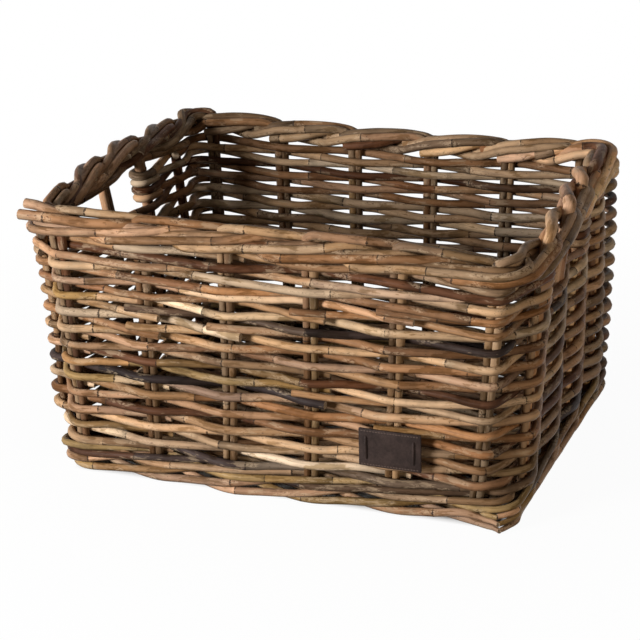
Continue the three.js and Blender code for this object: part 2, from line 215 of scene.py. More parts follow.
white = sheet.worked("MULTIPLY_ADD", seen, FLOOR_SEEN - FLOOR_BOUNCE, FLOOR_BOUNCE)
sheet.show_both(share, sheet.add("BsdfDiffuse", Color=white),
                sheet.add("Emission", Strength=1))
floor.data.materials.append(material)
world = bpy.data.worlds.new("studio")
scene.world = world
sheet = NodeSheet(world, "OutputWorld")
fill = sheet.add("Background", Color=FILL_COLOUR, Strength=FILL_STRENGTH)
sheet.show_both(sheet.seen(), fill, sheet.add("Background", Color=(1, 1, 1, 1)))
print("floor and surroundings made")

# %% [markdown]
# One strong square lamp at the front left gives the rods their round shading. A weak one
# hangs above, and a low warm one at the right keeps that wall from going black. A lamp shines
# along its own -Z, so it is turned until its Z points away from what it lights.

# %% Lamps
LAMPS = (
    ("key_lamp", (-1.25, -1.75, 0.6), (0, -0.1, 0.12), 0.65, 72, (1, 1, 1)),
    ("top_lamp", (0.5, -0.9, 2.4), (0, 0, 0.12), 1, 3, (1, 1, 1)),
    ("side_lamp", (1.85, -1.3, 0.3), (0.2, 0, 0.12), 0.6, 14, (1, 0.9, 0.74)),
)
for name, place, aim, size, power, colour in LAMPS:
    data = bpy.data.lights.new(name, "AREA")
    data.shape = "SQUARE"
    data.size, data.energy, data.color = size, power, colour
    lamp = bpy.data.objects.new(name, data)
    scene.collection.objects.link(lamp)
    lamp.location = place
    lamp.rotation_euler = (Vector(place) - Vector(aim)).to_track_quat("Z", "Y").to_euler()
print(len(LAMPS), "lamps")

# %% [markdown]
# The walls are planes that lean out a little, joined by rounded corners. Some pairs lean along
# their wall: the first and last on the right come forward, and the first on the left goes to
# its corner. Every rod is placed by its station u, counted in stake pairs round the basket
# from the left of the front, its distance n outside the stakes, and its height z.

# %% The walls
RIM_HEIGHT = 243.6
LEFT_FOOT, LEFT_RIM = 194, 220
RIGHT_FOOT, RIGHT_RIM = 213.5, 219.5
DEPTH_FOOT, DEPTH_RIM = 166, 171
BEND_FOOT, BEND_RIM = 13, 22
BEND_FROM, BEND_SPEED = 10, 4
FRONT_FOOT = (-187.5, -113.6, -39.7, 37.2, 110.8, 185.8)
FRONT_RIM = (-200.6, -119.5, -38.5, 40.5, 121.3, 205)
BACK_FOOT = (-186, -111.8, -37.3, 37.3, 111.8, 186)
BACK_RIM = (-196, -120.5, -40.5, 40, 119.5, 193)
RIGHT_PAIRS = (-108.5, -30, 46, 122.5)
LEFT_PAIRS = (-107, -29.5, 48, 126)
FIRST_LEAN, FIRST_HEIGHT, FIRST_RETURN = 27, 70, 1.15
LAST_LEAN = 24.5
LEFT_LEAN, LEFT_HEIGHT, LEFT_RETURN = 36, 60, 205
STATIONS = 20
BAY = 78
STEPS_PER_MM = 4


def between(foot, rim, z):
    """A size at a height, from those at the foot and the rim."""
    return foot + (rim - foot) * z / RIM_HEIGHT


def part_way(value, start, end):
    """How far a value is on its way from start to end, 0 to 1."""
    return min(max((value - start) / (end - start), 0), 1)


def eased_in(z, height):
    """How much of a lean is reached at a height, softly."""
    return math.sin(math.pi / 2 * part_way(z, 0, height))


def right_pairs(z):
    """Where the right wall's pairs stand; the first comes back at the rim."""
    high = max(z - FIRST_HEIGHT, 0) / (RIM_HEIGHT - FIRST_HEIGHT)
    first = RIGHT_PAIRS[0] - FIRST_LEAN * (eased_in(z, FIRST_HEIGHT) - FIRST_RETURN * high)
    return first, *RIGHT_PAIRS[1:3], RIGHT_PAIRS[3] - LAST_LEAN * z / RIM_HEIGHT


def left_pairs(z):
    """Where the left wall's pairs stand; the first comes back at the rim."""
    high = part_way(z, LEFT_RETURN, RIM_HEIGHT)
    lean = LEFT_LEAN * (eased_in(z, LEFT_HEIGHT) - high * high * (3 - 2 * high))
    return LEFT_PAIRS[0] - lean, *LEFT_PAIRS[1:]


@functools.cache
def loop_at(step):
    """The walls as a loop at a height: its stops, length, bend and sides."""
    z = step / STEPS_PER_MM
    left, right = between(LEFT_FOOT, LEFT_RIM, z), between(RIGHT_FOOT, RIGHT_RIM, z)
    deep = between(DEPTH_FOOT, DEPTH_RIM, z)
    bend = between(BEND_FOOT, BEND_RIM, min(max(z - BEND_FROM, 0) * BEND_SPEED, RIM_HEIGHT))
    wide, long = left + right - 2 * bend, 2 * (deep - bend)
    arc = math.pi / 2 * bend
    starts = (0, wide + arc, wide + long + 2 * arc, 2 * wide + long + 3 * arc)
    corner = left - bend, right - bend, deep - bend
    stops = [between(f, r, z) + corner[0] for f, r in zip(FRONT_FOOT, FRONT_RIM)]
    stops += [starts[1] + y + corner[2] for y in right_pairs(z)]
    back = [between(f, r, z) for f, r in zip(BACK_FOOT, BACK_RIM)]
    stops += [starts[2] + corner[1] - x for x in reversed(back)]
    stops += [starts[3] + corner[2] - y for y in reversed(left_pairs(z))]
    length = 2 * (wide + long) + 4 * arc
    stops.append(stops[0] + length)
    sides = (
        (starts[0], wide, -corner[0], -deep, 1, 0),
        (starts[1], long, right, -corner[2], 0, 1),
        (starts[2], wide, corner[1], deep, -1, 0),
        (starts[3], long, -left, corner[2], 0, -1),
    )
    return stops, length, bend, sides


print(STATIONS, "stations on a loop of", round(loop_at(0)[1]), "mm at the foot")

# %% [markdown]
# Plain walls look too neat, so each place on them is moved a little: the back rim sags, the
# foot bulges in front, the right wall and the left front corner bow out, the left rim rises
# over its hole, and the front right corner dips. A move fades in from one value to another,
# or has a soft hump with a middle and a width. Rods are stiff, so the rows cut the two front
# corners straight from pair to pair.

# %% By hand
TO_WALL, TO_RIGHT, TO_RIM, OFF_FOOT = (40, 160), (125, 210), (120, 240), (0, 60)
BACK_SAG, SAG_MIDDLE, SAG_HALF = 4, -10, 195
FOOT_BULGE, BULGE_TOP, BULGE_AT = 8, 90, (-20, 75)
RIGHT_BOW, RIGHT_BOW_AT = 12, (-75, 95)
END_BOWS = ((7, -130, 60), (5, 140, 60))
CORNER_DIP = 6.5
LEFT_BOW, LEFT_BELLY, BELLY_AT = 12.5, 5.5, (65, 40)
PAST_PAIR, TO_CORNER, BOW_BASE, BOW_TOP = (0, 8), (50, 140), (0, 40), (-240, -220)
LEFT_ARCH, LEFT_SWING, ARCH_AT = 5, 6, (-5, 85)
TO_LEFT, TO_LEFT_RIM = (150, 200), (180, 235)
CRISP_CORNERS, CRISP_FROM = (5, 19), (18, 58)
CORNER_EASE = 0.09


def hump(value, middle, width):
    """A soft hump that is one in the middle."""
    return math.exp(-(((value - middle) / width) ** 2))


def by_hand(x, y, z):
    """A place on the plain walls, moved as hand work would."""
    back, front, right = part_way(y, *TO_WALL), part_way(-y, *TO_WALL), part_way(x, *TO_RIGHT)
    high, rise = part_way(z, *TO_RIM) ** 2, part_way(z, *OFF_FOOT)
    middle = max(1 - ((x - SAG_MIDDLE) / SAG_HALF) ** 2, 0)
    sag = BACK_SAG * back * (max(z, 0) / RIM_HEIGHT) ** 2 * middle
    bulge = FOOT_BULGE * front * max(1 - z / BULGE_TOP, 0) * hump(x, *BULGE_AT)
    ends = sum(size * hump(y, *at) for size, *at in END_BOWS)
    bow = right * (RIGHT_BOW * high * hump(y, *RIGHT_BOW_AT) + rise * (1 - high) * ends)
    dip = CORNER_DIP * right * high * front
    corner = part_way(between(FRONT_FOOT[0], FRONT_RIM[0], z) - x, *PAST_PAIR)
    corner *= part_way(-y, *TO_CORNER) * part_way(z, *BOW_BASE) * part_way(-z, *BOW_TOP)
    bow -= corner * (LEFT_BOW + LEFT_BELLY * hump(z, *BELLY_AT))
    arch = part_way(-x, *TO_LEFT) * part_way(z, *TO_LEFT_RIM) * hump(y, *ARCH_AT)
    return x + bow - LEFT_SWING * arch, y - bulge, z - sag - dip + LEFT_ARCH * arch


def on_wall(u, n, z):
    """The place of a rod at station u, n outside the stakes and z high."""
    stops, length, bend, sides = loop_at(round(STEPS_PER_MM * z))
    u %= STATIONS
    k = min(int(u), STATIONS - 1)
    s = (stops[k] + (stops[k + 1] - stops[k]) * (u - k)) % length
    arc = math.pi / 2 * bend
    for start, run, x, y, dx, dy in sides:
        d = s - start
        if d <= run:
            return by_hand(x + dx * d + dy * n, y + dy * d - dx * n, z)
        if d <= run + arc + 1e-6:
            a = (d - run) / bend
            cx, cy = x + dx * run - dy * bend, y + dy * run + dx * bend
            ox, oy = dy * math.cos(a) + dx * math.sin(a), dy * math.sin(a) - dx * math.cos(a)
            return by_hand(cx + ox * (bend + n), cy + oy * (bend + n), z)
    raise ValueError("a station outside the loop")


def strung(u, z):
    """A place between the stakes, with the front corners cut above the foot."""
    rounded = np.array(on_wall(u, 0, z))
    k = math.floor(u)
    if k % STATIONS not in CRISP_CORNERS:
        return rounded
    start, end = np.array(on_wall(k, 0, z)), np.array(on_wall(k + 1, 0, z))
    share = part_way(z, *CRISP_FROM)
    return rounded * (1 - share) + (start + (end - start) * (u - k)) * share


def on_row(u, n, z):
    """The place of a rod of the weave, which bends round the corner pairs."""
    way = strung(u + CORNER_EASE, z) - strung(u - CORNER_EASE, z)
    out = np.array([way[1], -way[0], 0]) / math.hypot(way[0], way[1])
    return strung(u, z) + out * n


print("the first pair meets the rim at", np.round(on_wall(0, 0, RIM_HEIGHT)))

# %% [markdown]
# A rod starts as a smooth line through a few knots, with slow and quick wavers, because no
# rod is straight. A knot is a place, or a station, distance and height on the wall.

# %% Smooth lines
LINE_STEP = 2
WAVES, WAVE_TURN, WAVE_SCALE = 3, 6.283, 1.7
WAVE_START, WAVE_SHARE, WAVE_LENGTH = (0, 6.28), (0.4, 1), (90, 400)
KINK_SHARE, KINK_LENGTH = 0.45, (28, 75)
OUT_SHARE = 0.8


def smooth(knots, unit=1):
    """A smooth line through knots; unit is what one counts for in their first numbers."""
    p = np.asarray(knots, float)
    h = np.maximum(np.linalg.norm(np.diff(p * (unit, 1, 1), axis=0), axis=1), 1e-6)
    slope = np.diff(p, axis=0) / h[:, None]
    m = np.empty_like(p)
    m[0], m[-1] = slope[0], slope[-1]
    w = h[:-1] / (h[:-1] + h[1:])
    m[1:-1] = slope[:-1] * (1 - w)[:, None] + slope[1:] * w[:, None]
    out = []
    for i, length in enumerate(h):
        t = np.arange(0, 1, min(LINE_STEP / length, 0.5))[:, None]
        a, b = 2 * t ** 3 - 3 * t ** 2 + 1, t ** 3 - 2 * t ** 2 + t
        c, d = -2 * t ** 3 + 3 * t ** 2, t ** 3 - t ** 2
        out.append(a * p[i] + b * length * m[i] + c * p[i + 1] + d * length * m[i + 1])
    out.append(p[-1:])
    return np.concatenate(out)


def waver(rng, size, lengths=WAVE_LENGTH):
    """A random wave along a rod, in millimetres."""
    waves = [(rng.uniform(*lengths), rng.uniform(*WAVE_START), rng.uniform(*WAVE_SHARE))
             for _ in range(WAVES)]
    return lambda s: size * sum(a * math.sin(WAVE_TURN * s / w + f)
                                for w, f, a in waves) / WAVE_SCALE


def woven(knots, rng, size, place=on_wall):
    """A line woven on the wall, from knots of station, distance outside and height."""
    up, out = waver(rng, size), waver(rng, size * OUT_SHARE)
    kink = waver(rng, size * KINK_SHARE, KINK_LENGTH)
    return np.array([place(u, n + out(u * BAY), z + up(u * BAY) + kink(u * BAY))
                     for u, n, z in smooth(knots, BAY)])


print("lines have a point every", LINE_STEP, "mm")

# %% [markdown]
# Rattan has nodes, and each is a thin dark ring on a slight swelling, with the colour a
# little different on either side. So the line gets points close together at its nodes, and
# every point carries a thickness and a colour, picked from some tans, browns and greys.

# %% Rods as lines
TONES = (
    ((198, 160, 122), 19), ((228, 196, 160), 15), ((190, 149, 117), 13),
    ((160, 117, 82), 20), ((148, 117, 88), 11), ((154, 123, 80), 7),
    ((130, 90, 66), 7), ((98, 64, 44), 10), ((62, 50, 46), 8),
)
POINT_SPACE = 4.6
FIRST_NODE, NODE_SPACE, LAST_NODE = (15, 110), (60, 175), 6
NODE_SHAPE = ((-2.8, 0.015), (-1.1, 0.045), (0, 0.07), (1.1, 0.03), (2.8, 0.01))
NODE_CLEAR, NODE_FAR = 4.2, 20
NODE_STRONG, RING_THIN, RING_GROWS = (0.25, 1), 0.4, 0.8
STAINS, STAIN_LENGTH = (0, 0, 0.3, 0.55), (10, 45)
PALENESS, PALE_LENGTH = (0, 0.3), (6, 16)
OTHER_SHARES, LIGHTNESS = (0, 0, 0.25, 0.6), (0.66, 1.2)
WARMTH, BLUE_LOSS = (-0.06, 0.06), 1.6
THICKNESS_WAVER = 0.16
EVENLY = (0, 1), (1, 1)


def plain_light(value):
    """A colour value as it is written, 0 to 255, made linear."""
    c = value / 255
    return c / 12.92 if c <= 0.04045 else ((c + 0.055) / 1.055) ** 2.4


def pick_tone(rng, tones):
    """One of some tones, by their weights."""
    pick = rng.uniform(0, sum(weight for _, weight in tones))
    for tone, weight in tones:
        pick -= weight
        if pick <= 0:
            break
    return np.array([plain_light(c) for c in tone])


def rod(line, radius, rng, taper=EVENLY, tones=TONES, painted_shading=EVENLY):
    """A rod along a line: its points and what each of them carries."""
    steps = np.linalg.norm(np.diff(line, axis=0), axis=1)
    s = np.concatenate([[0], np.cumsum(steps)])
    total = s[-1]
    rings, q = [], rng.uniform(*FIRST_NODE)
    while q < total - LAST_NODE:
        rings.append(q)
        q += rng.uniform(*NODE_SPACE)
    places = [x for x in np.linspace(0, total, max(3, round(total / POINT_SPACE)))
              if all(abs(x - r) > NODE_CLEAR for r in rings)]
    marks = {x: 0 for x in places}
    strengths = [rng.uniform(*NODE_STRONG) for _ in rings]
    for r, strong in zip(rings, strengths):
        for off, swell in NODE_SHAPE:
            marks[r + off] = swell * strong
    at = np.array(sorted(marks))
    points = np.stack([np.interp(at, s, line[:, k]) for k in range(3)], axis=1)
    near = np.full(len(at), NODE_FAR)
    shade = np.ones(len(at))
    for r, strong in zip(rings, strengths):
        away = at - r
        near = np.minimum(near, np.abs(away) / (RING_THIN + RING_GROWS * strong))
        way, dark, long = rng.choice((-1, 1)), rng.choice(STAINS), rng.uniform(*STAIN_LENGTH)
        after = away * way
        shade *= 1 - dark * np.where(after >= 0, np.clip(1 - after / long, 0, 1), 0)
        pale, long = rng.uniform(*PALENESS), rng.uniform(*PALE_LENGTH)
        shade *= 1 + pale * np.where(after < 0, np.clip(1 + after / long, 0, 1), 0)
    base = pick_tone(rng, tones)
    parts = []
    for _ in range(len(rings) + 1):
        other, share = pick_tone(rng, tones), rng.choice(OTHER_SHARES)
        light, warm = rng.uniform(*LIGHTNESS), rng.uniform(*WARMTH)
        here = base * (1 - share) + other * share
        parts.append(here * light * np.array([1 + warm, 1, 1 - warm * BLUE_LOSS]))
    # Painted light and shade: the colour is brightened or darkened along the rod, for how light
    # falls on each part.
    shade *= np.interp(at / total, *painted_shading)
    tints = np.array([parts[k] for k in np.searchsorted(rings, at)]) * shade[:, None]
    thick = waver(rng, THICKNESS_WAVER)
    radii = np.array([radius * (1 + marks[x]) + thick(x) for x in at])
    radii *= np.interp(at / total, *taper)
    return {"points": points, "radii": radii, "tints": np.clip(tints, 0, 1),
            "along": at, "near": near}


print(len(TONES), "tones of rattan")

# %% [markdown]
# The rattan's skin is matt with a faint sheen. Fine streaks run along each rod, under dull
# blotches, worn and peeled parts, dark specks and a ragged ring at each node. Four attributes
# of the mesh carry what the pattern needs: tint, the colour of that length of rod, grain, the
# place round and along the rod, so that streaks follow every bend, node, how far the nearest
# node is, and upper, how far the skin faces up, for painted shade that darkens the undersides.
# A cut end shows pale, porous pith.

# %% Rattan finish
DULL, WORN, PEELED = (0.6, 0.55, 0.46, 1), (0.46, 0.335, 0.215, 1), (0.56, 0.42, 0.28, 1)
CRUST, SPECK, RING = (0.06, 0.036, 0.024, 1), (0.04, 0.027, 0.02, 1), (0.02, 0.013, 0.01, 1)
PITH, PITH_STOPS = ((0.15, 0.1, 0.066, 1), (0.4, 0.3, 0.2, 1)), ((0.4, 0), (0.62, 1))


def rattan_skin():
    """The skin, layer by layer."""
    material, sheet = new_material("rattan_skin")
    noise, ramp, mix, worked = sheet.noise, sheet.ramp, sheet.mix, sheet.worked
    tint, grain = sheet.carried("tint")["Color"], sheet.carried("grain")["Vector"]
    away, upper = sheet.carried("node")["Fac"], sheet.carried("upper")["Fac"]
    place = sheet.place()
    streaks = noise(grain, (0.5, 0.5, 0.03), Detail=5, Roughness=0.7)
    islands = noise(grain, (0.14, 0.14, 0.03), Detail=5, Roughness=0.62)
    blotch = noise(place, Scale=55, Detail=3, Roughness=0.6)
    speck = noise(place, Scale=420, Detail=2)
    peeled = noise(grain, (0.17, 0.17, 0.04), Detail=2)
    flake = noise(grain, (0.8, 0.8, 0.4), Detail=3, Roughness=0.7)
    ragged = noise(grain, (0.6, 0.6, 0.2), Detail=3, Roughness=0.6)
    colour = mix("MULTIPLY", 0.85, tint, ramp(streaks, (0.3, 0.4), (0.48, 0.9), (0.7, 1)))
    colour = mix("MULTIPLY", 0.6, colour, ramp(blotch, (0.3, 0.5), (0.52, 1)))
    dull = mix("MULTIPLY", 1, colour, DULL)
    colour = mix("MIX", ramp(islands, (0.4, 1), (0.435, 0)), colour, dull)
    colour = mix("MIX", ramp(islands, (0.585, 0), (0.62, 0.35)), colour, WORN)
    close = worked("MULTIPLY_ADD", away, -0.01, 0.1)
    peeled = worked("ADD", peeled, worked("MAXIMUM", close, 0))
    bare = mix("MULTIPLY", 1, ramp(peeled, (0.6, 0), (0.66, 0.65)),
               ramp(flake, (0.44, 0), (0.54, 1)))
    colour = mix("MIX", bare, colour, mix("MIX", 0.5, PEELED, tint))
    crust = mix("MULTIPLY", 1, ramp(peeled, (0.59, 0), (0.66, 0.7)),
                ramp(flake, (0.36, 1), (0.45, 0)))
    colour = mix("MIX", crust, colour, CRUST)
    colour = mix("MIX", ramp(speck, (0.68, 0), (0.74, 0.6)), colour, SPECK)
    ring = worked("MULTIPLY_ADD", ragged, -4.2, worked("ADD", away, 1.75))
    colour = mix("MIX", ramp(ring, (0, 0.85), (0.3, 0)), colour, RING)
    # Painted shade: the colour is darkened where the skin faces down, as if shaded from above.
    facing = worked("MULTIPLY_ADD", upper, 0.5, 0.5)
    colour = mix("MULTIPLY", 1, colour, ramp(facing, (0.1, 0.42), (0.4, 0.86), (0.68, 1)))
    sheet.show_rough(colour, mix("MIX", 0.35, streaks, flake), 0.6, 0.9 * MM,
                     Specular_IOR_Level=0.045, Roughness=ramp(blotch, (0.3, 0.55), (0.7, 0.34)))
    return material


def grainy(name, colours, stops, strength, depth, roughness, **fine):
    """A finish of fine noise between two colours."""
    material, sheet = new_material(name)
    noise = sheet.noise(sheet.place(), **fine)
    colour = sheet.mix("MIX", sheet.ramp(noise, *stops) if stops else noise, *colours)
    sheet.show_rough(colour, noise, strength, depth, Specular_IOR_Level=0.2,
                     Roughness=roughness)
    return material


RATTAN_SKIN = rattan_skin()
RATTAN_PITH = grainy("rattan_pith", PITH, PITH_STOPS, 0.6, 0.4 * MM, 0.9, Scale=1500, Detail=2)
print("finishes:", RATTAN_SKIN.name, RATTAN_PITH.name)

# %% [markdown]
# Now the lines become solid. A curve takes one spline for each rod of a piece, with a round
# bevel that follows the thickness, and bpy.ops.object.convert makes it a mesh. That puts the
# end caps first and then the rings, in order, so the attributes can be filled in ring by ring
# before the caps are merged to the tube.

# %% From lines to a piece
BEVEL_STEPS = 3
SIDES = 4 + 2 * BEVEL_STEPS
CAP_FACES = SIDES - 2
GRAIN_RADIUS = 3.3
GRAIN_SHIFTS, GRAIN_SHIFT = 97, 31
ROD_MERGE, ROD_CREASE = 1e-6, 50


def select_only(piece):
    """Selects one object alone."""
    bpy.ops.object.select_all(action="DESELECT")
    piece.select_set(True)
    bpy.context.view_layer.objects.active = piece


def swept(name, lines, depth, steps, radii=None):
    """Lines swept by a circle into one mesh."""
    curve = bpy.data.curves.new(name, "CURVE")
    curve.dimensions = "3D"
    curve.bevel_depth = depth * MM
    curve.bevel_resolution = steps
    curve.use_fill_caps = True
    for k, line in enumerate(lines):
        spline = curve.splines.new("POLY")
        spline.points.add(len(line) - 1)
        places = np.column_stack([np.asarray(line) * MM, np.ones(len(line))])
        spline.points.foreach_set("co", places.ravel())
        if radii:
            spline.points.foreach_set("radius", radii[k])
    piece = bpy.data.objects.new(name, curve)
    scene.collection.objects.link(piece)
    select_only(piece)
    bpy.ops.object.convert(target="MESH")
    return bpy.context.object


def sealed(piece, closer, crease, outward=False):
    """Merges points that meet, and shades all but sharp edges smooth."""
    select_only(piece)
    bpy.ops.object.mode_set(mode="EDIT")
    bpy.ops.mesh.select_all(action="SELECT")
    bpy.ops.mesh.remove_doubles(threshold=closer)
    if outward:
        bpy.ops.mesh.normals_make_consistent(inside=False)
    bpy.ops.object.mode_set(mode="OBJECT")
    bpy.ops.object.shade_smooth_by_angle(angle=math.radians(crease))


def carry(mesh, name, kind, field, values):
    """Gives every point of a mesh an attribute."""
    mesh.attributes.new(name, kind, "POINT").data.foreach_set(field, values.ravel())


def make_piece(name, rods):
    """A piece of one or more rods, in place of the frame's node of that name."""
    piece = swept(name + "_rods", [one["points"] for one in rods], 1, BEVEL_STEPS,
                  [one["radii"] for one in rods])
    mesh = piece.data
    keys = "tints", "along", "near"
    caps = [{key: one[key][[end]] for key in keys} for one in reversed(rods) for end in (-1, 0)]
    tints, along, near = (np.concatenate([one[key] for one in caps + rods]) for key in keys)
    assert len(mesh.vertices) == len(tints) * SIDES, name
    colours = np.ones((len(tints), SIDES, 4))
    colours[:, :, :3] = tints[:, None]
    angle = np.arange(SIDES) * 2 * math.pi / SIDES
    grain = np.empty((len(tints), SIDES, 3))
    grain[:, :, 0], grain[:, :, 1] = GRAIN_RADIUS * np.cos(angle), GRAIN_RADIUS * np.sin(angle)
    grain[:, :, 2] = along[:, None] + (sum(map(ord, name)) % GRAIN_SHIFTS) * GRAIN_SHIFT
    normals = np.empty(3 * len(mesh.vertices))
    mesh.vertices.foreach_get("normal", normals)
    carry(mesh, "tint", "FLOAT_COLOR", "color", colours)
    carry(mesh, "grain", "FLOAT_VECTOR", "vector", grain)
    carry(mesh, "node", "FLOAT", "value", np.repeat(near, SIDES))
    # upper is how far each point faces up, and drives the painted shade on the undersides.
    carry(mesh, "upper", "FLOAT", "value", normals[2::3])
    mesh.materials.append(RATTAN_SKIN)
    mesh.materials.append(RATTAN_PITH)
    which = np.zeros(len(mesh.polygons), np.int32)
    which[: 2 * len(rods) * CAP_FACES] = 1
    mesh.polygons.foreach_set("material_index", which)
    sealed(piece, ROD_MERGE, ROD_CREASE)
    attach(piece, "root")
    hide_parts(name)


print("a rod has", SIDES, "sides")

# %% [markdown]
# A full row goes over one pair and under the next, all the way round, and the next row does
# the opposite. A rod isn't long enough for a round, so each row is two or three. A new rod
# mostly starts inside, above the end of the old one, where both press on the same pair, and
# in some rows this splice is seen on the front. Round the back right corner a rod keeps to the
# side of the pair that it comes to. Along the back the rods are a little thicker, and their
# colour is painted darker there as shade.

# %% Full rows
FULL_ROWS, ROW_SEED = 21, 100
FIRST_ROW, ROW_PITCH = 30.1, 7.85
ROW_RADII, ROW_WAVER = (3.3, 4.05), 1
WEAVE = 7.2
SPLICE_UP, SPLICE_LONG, SPLICE_SPREAD, SPLICE_TILT = 3, 0.2, 1.08, 0.5
FRONT_SPLICES, RIGHT_SPLICES, LEFT_SPLICES = range(5), range(7, 10), range(16, 20)
OUTSIDE_SHARE, THREE_RODS = 0.25, 0.5
KEPT, KEPT_LENGTH, KEPT_SHARE = {9: 0.57}, 0.22, 0.95
BACK_THICKER, THICKER_FROM, THICKER_TO = 1.17, 8, 19
# Painted shade: the rods' colour is darkened along the back wall.
BACK_PAINTED_SHADE = (9, 10, 15, 16), (1, 0.76, 0.76, 1)
TAPER_STEPS = 60


def side(station, row):
    """How far outside a row passes a pair; inside is less than nothing."""
    return WEAVE if (station + row) % 2 == 0 else -WEAVE


def bay_knots(k, first, last):
    """The knots between two stations, from the knots at both."""
    n, z = (first[1] + last[1]) / 2, (first[2] + last[2]) / 2
    if k % STATIONS not in KEPT:
        return [(k + 0.5, n, z)]
    part = KEPT[k % STATIONS]
    return [(k + part - KEPT_LENGTH, n, z), (k + part, last[1] * KEPT_SHARE, last[2])]


def stations_along(first, last):
    """Places along a rod, as parts of its length and as stations."""
    part = np.linspace(0, 1, TAPER_STEPS)
    return part, (first + part * (last - first)) % STATIONS


def row_breaks(row, rng):
    """The stations where the rods of a full row meet."""
    first = rng.choice([k for k in FRONT_SPLICES if side(k, row) < 0])
    if rng.random() < OUTSIDE_SHARE:
        first = rng.choice([k for k in FRONT_SPLICES[1:] if side(k, row) > 0])
    second = rng.choice([k for k in RIGHT_SPLICES if side(k, row) < 0])
    third = rng.choice([k for k in LEFT_SPLICES if side(k, row) < 0])
    three = rng.random() < THREE_RODS
    return [first, second, third] if three else [first, rng.choice((second, third))]


def row_rods(row, z, rng, radii, lifted):
    """The spliced rods of one full row, lifted at some stations."""
    rods, breaks = [], row_breaks(row, rng)
    for start, end in zip(breaks, breaks[1:] + [breaks[0] + STATIONS]):
        n, high = side(start, row), z + SPLICE_UP
        knots = [(start - SPLICE_LONG, n * SPLICE_SPREAD, high + SPLICE_TILT), (start, n, high)]
        for k in range(start, end):
            last = (k + 1, side(k + 1, row), z + lifted.get((k + 1) % STATIONS, 0))
            knots += bay_knots(k, knots[-1], last) + [last]
        n, low = side(end, row), z - SPLICE_UP
        knots[-1:] = [(end, n, low), (end + SPLICE_LONG, n * SPLICE_SPREAD, low - SPLICE_TILT)]
        part, at = stations_along(start, end)
        taper = part, np.where((at > THICKER_FROM) & (at < THICKER_TO), BACK_THICKER, 1)
        rods.append(rod(woven(knots, rng, ROW_WAVER, on_row), rng.uniform(*radii), rng, taper,
                        painted_shading=(part, np.interp(at, *BACK_PAINTED_SHADE))))
    return rods


made = 0
for row in range(FULL_ROWS):
    z, rng = FIRST_ROW + row * ROW_PITCH, random.Random(ROW_SEED + row)
    rods = row_rods(row, z, rng, ROW_RADII, {})
    make_piece(f"row_{row + 1:02d}", rods)
    made += len(rods)
print(FULL_ROWS, "full rows of", made, "rods")

# %% [markdown]
# Beside the handle holes the rows can't go round, so each is a rod of its own that wraps round
# the pair at the edge of the hole and is tucked back inside. Along the front these upper rows
# are woven closer: outside two pairs and inside one, each row a pair further on than the one
# below. One more full row closes the holes above. It is lifted over the left hole.

# %% Rows beside the handle holes
HOLE_ROWS, HOLE_PITCH, HOLE_DROP = 4, 7.15, 0.5
HOLE_FIRST = FIRST_ROW + FULL_ROWS * ROW_PITCH - HOLE_DROP
HOLE_RADII, HOLE_WAVER = (3.65, 4.1), 0.3
WALE_SLOPE, NO_SLOPE = (0.4, 1.5, -1.5), (0, 0, 0)
EDGE_TURN = ((0.11, 0.82, 0), (0.165, 0, 0.4), (0.11, -0.82, 0.8), (0, -1, 0.8),
             (-0.22, -0.95, 0.4))
LAST_ROW = HOLE_FIRST + HOLE_ROWS * HOLE_PITCH
LAST_RADII, LAST_SEED = (3.5, 3.7), 7
LIFTED = {17: 3, 18: 6, 19: 3}


def waled(u, row):
    """Outside two pairs and inside the third, a pair further on in every row."""
    return -WEAVE if (u - row) % 3 == 0 else WEAVE


def hole_knots(first, last, row, z, pattern, slope):
    """One row, each end wrapped round the pair at the hole and tucked back."""
    knots = []
    for u in range(first, last + 1):
        n = side(u, row) if u in (first, last) else pattern(u, row)
        here = (u, n, z + slope[(u - row) % 3])
        if knots:
            knots += bay_knots(u - 1, knots[-1], here)
        knots.append(here)
    before = [(first - d, knots[0][1] * part, z + up) for d, part, up in reversed(EDGE_TURN)]
    after = [(last + d, knots[-1][1] * part, z + up) for d, part, up in EDGE_TURN]
    return before + knots + after


for name, first, last, pattern, slope in (("hole_rows_front", -1, 6, waled, WALE_SLOPE),
                                          ("hole_rows_back", 8, 17, side, NO_SLOPE)):
    rng = random.Random(name)
    part, at = stations_along(first, last)
    # Painted shade: the back of these rows is darkened like the full rows.
    painted_shading = part, np.interp(at, *BACK_PAINTED_SHADE)
    rods = []
    for k in range(HOLE_ROWS):
        z = HOLE_FIRST + k * HOLE_PITCH
        knots = hole_knots(first, last, FULL_ROWS + k, z, pattern, slope)
        line = woven(knots, rng, HOLE_WAVER, on_row)
        rods.append(rod(line, rng.uniform(*HOLE_RADII), rng, painted_shading=painted_shading))
    make_piece(name, rods)
rng = random.Random(LAST_SEED)
rods = row_rods(FULL_ROWS + HOLE_ROWS, LAST_ROW, rng, LAST_RADII, LIFTED)
make_piece("row_under_border", rods)
print("rows beside the holes, and one above at", round(LAST_ROW))

# %% [markdown]
# Along the foot three rods twist round the stakes, each outside two pairs and inside the
# third, and a second round lies on the first, so that the wall starts on a firm edge. The
# first round starts and ends at the front right corner, where the tips stand out to a point.

# %% Foot
FOOT_ROUNDS = (
    (11, 3.6, ((5.6, 4.6), (7.6, 8), (8.4, 11.8), (0.5, 16.8), (-8.6, 17.8), (0, 9))),
    (27, 3.25, ((7, 17.6), (7.8, 20.6), (7.9, 24), (0, 24.4), (-8.2, 24.2), (0, 20.4))),
)
TURN = 6
FOOT_WAVER, FOOT_SEED = 0.3, 40
FOOT_TAPER = (0, 0.025, 0.975, 1), (0.6, 1, 1, 0.6)
FOOT_TONES = TONES[2:]
FOOT_TIPS = {0: (19, 3.4), 2: (17.5, 9), 4: (13.5, 14.4)}
TIP_STATION, TIP_SHORTER = 5.262, 1
TIP_START, TIP_END = ((5.33, 11.2), (5.454, 8)), ((25.14, 7.5), (25.236, 12))
TIP_HALVES = 12, 50


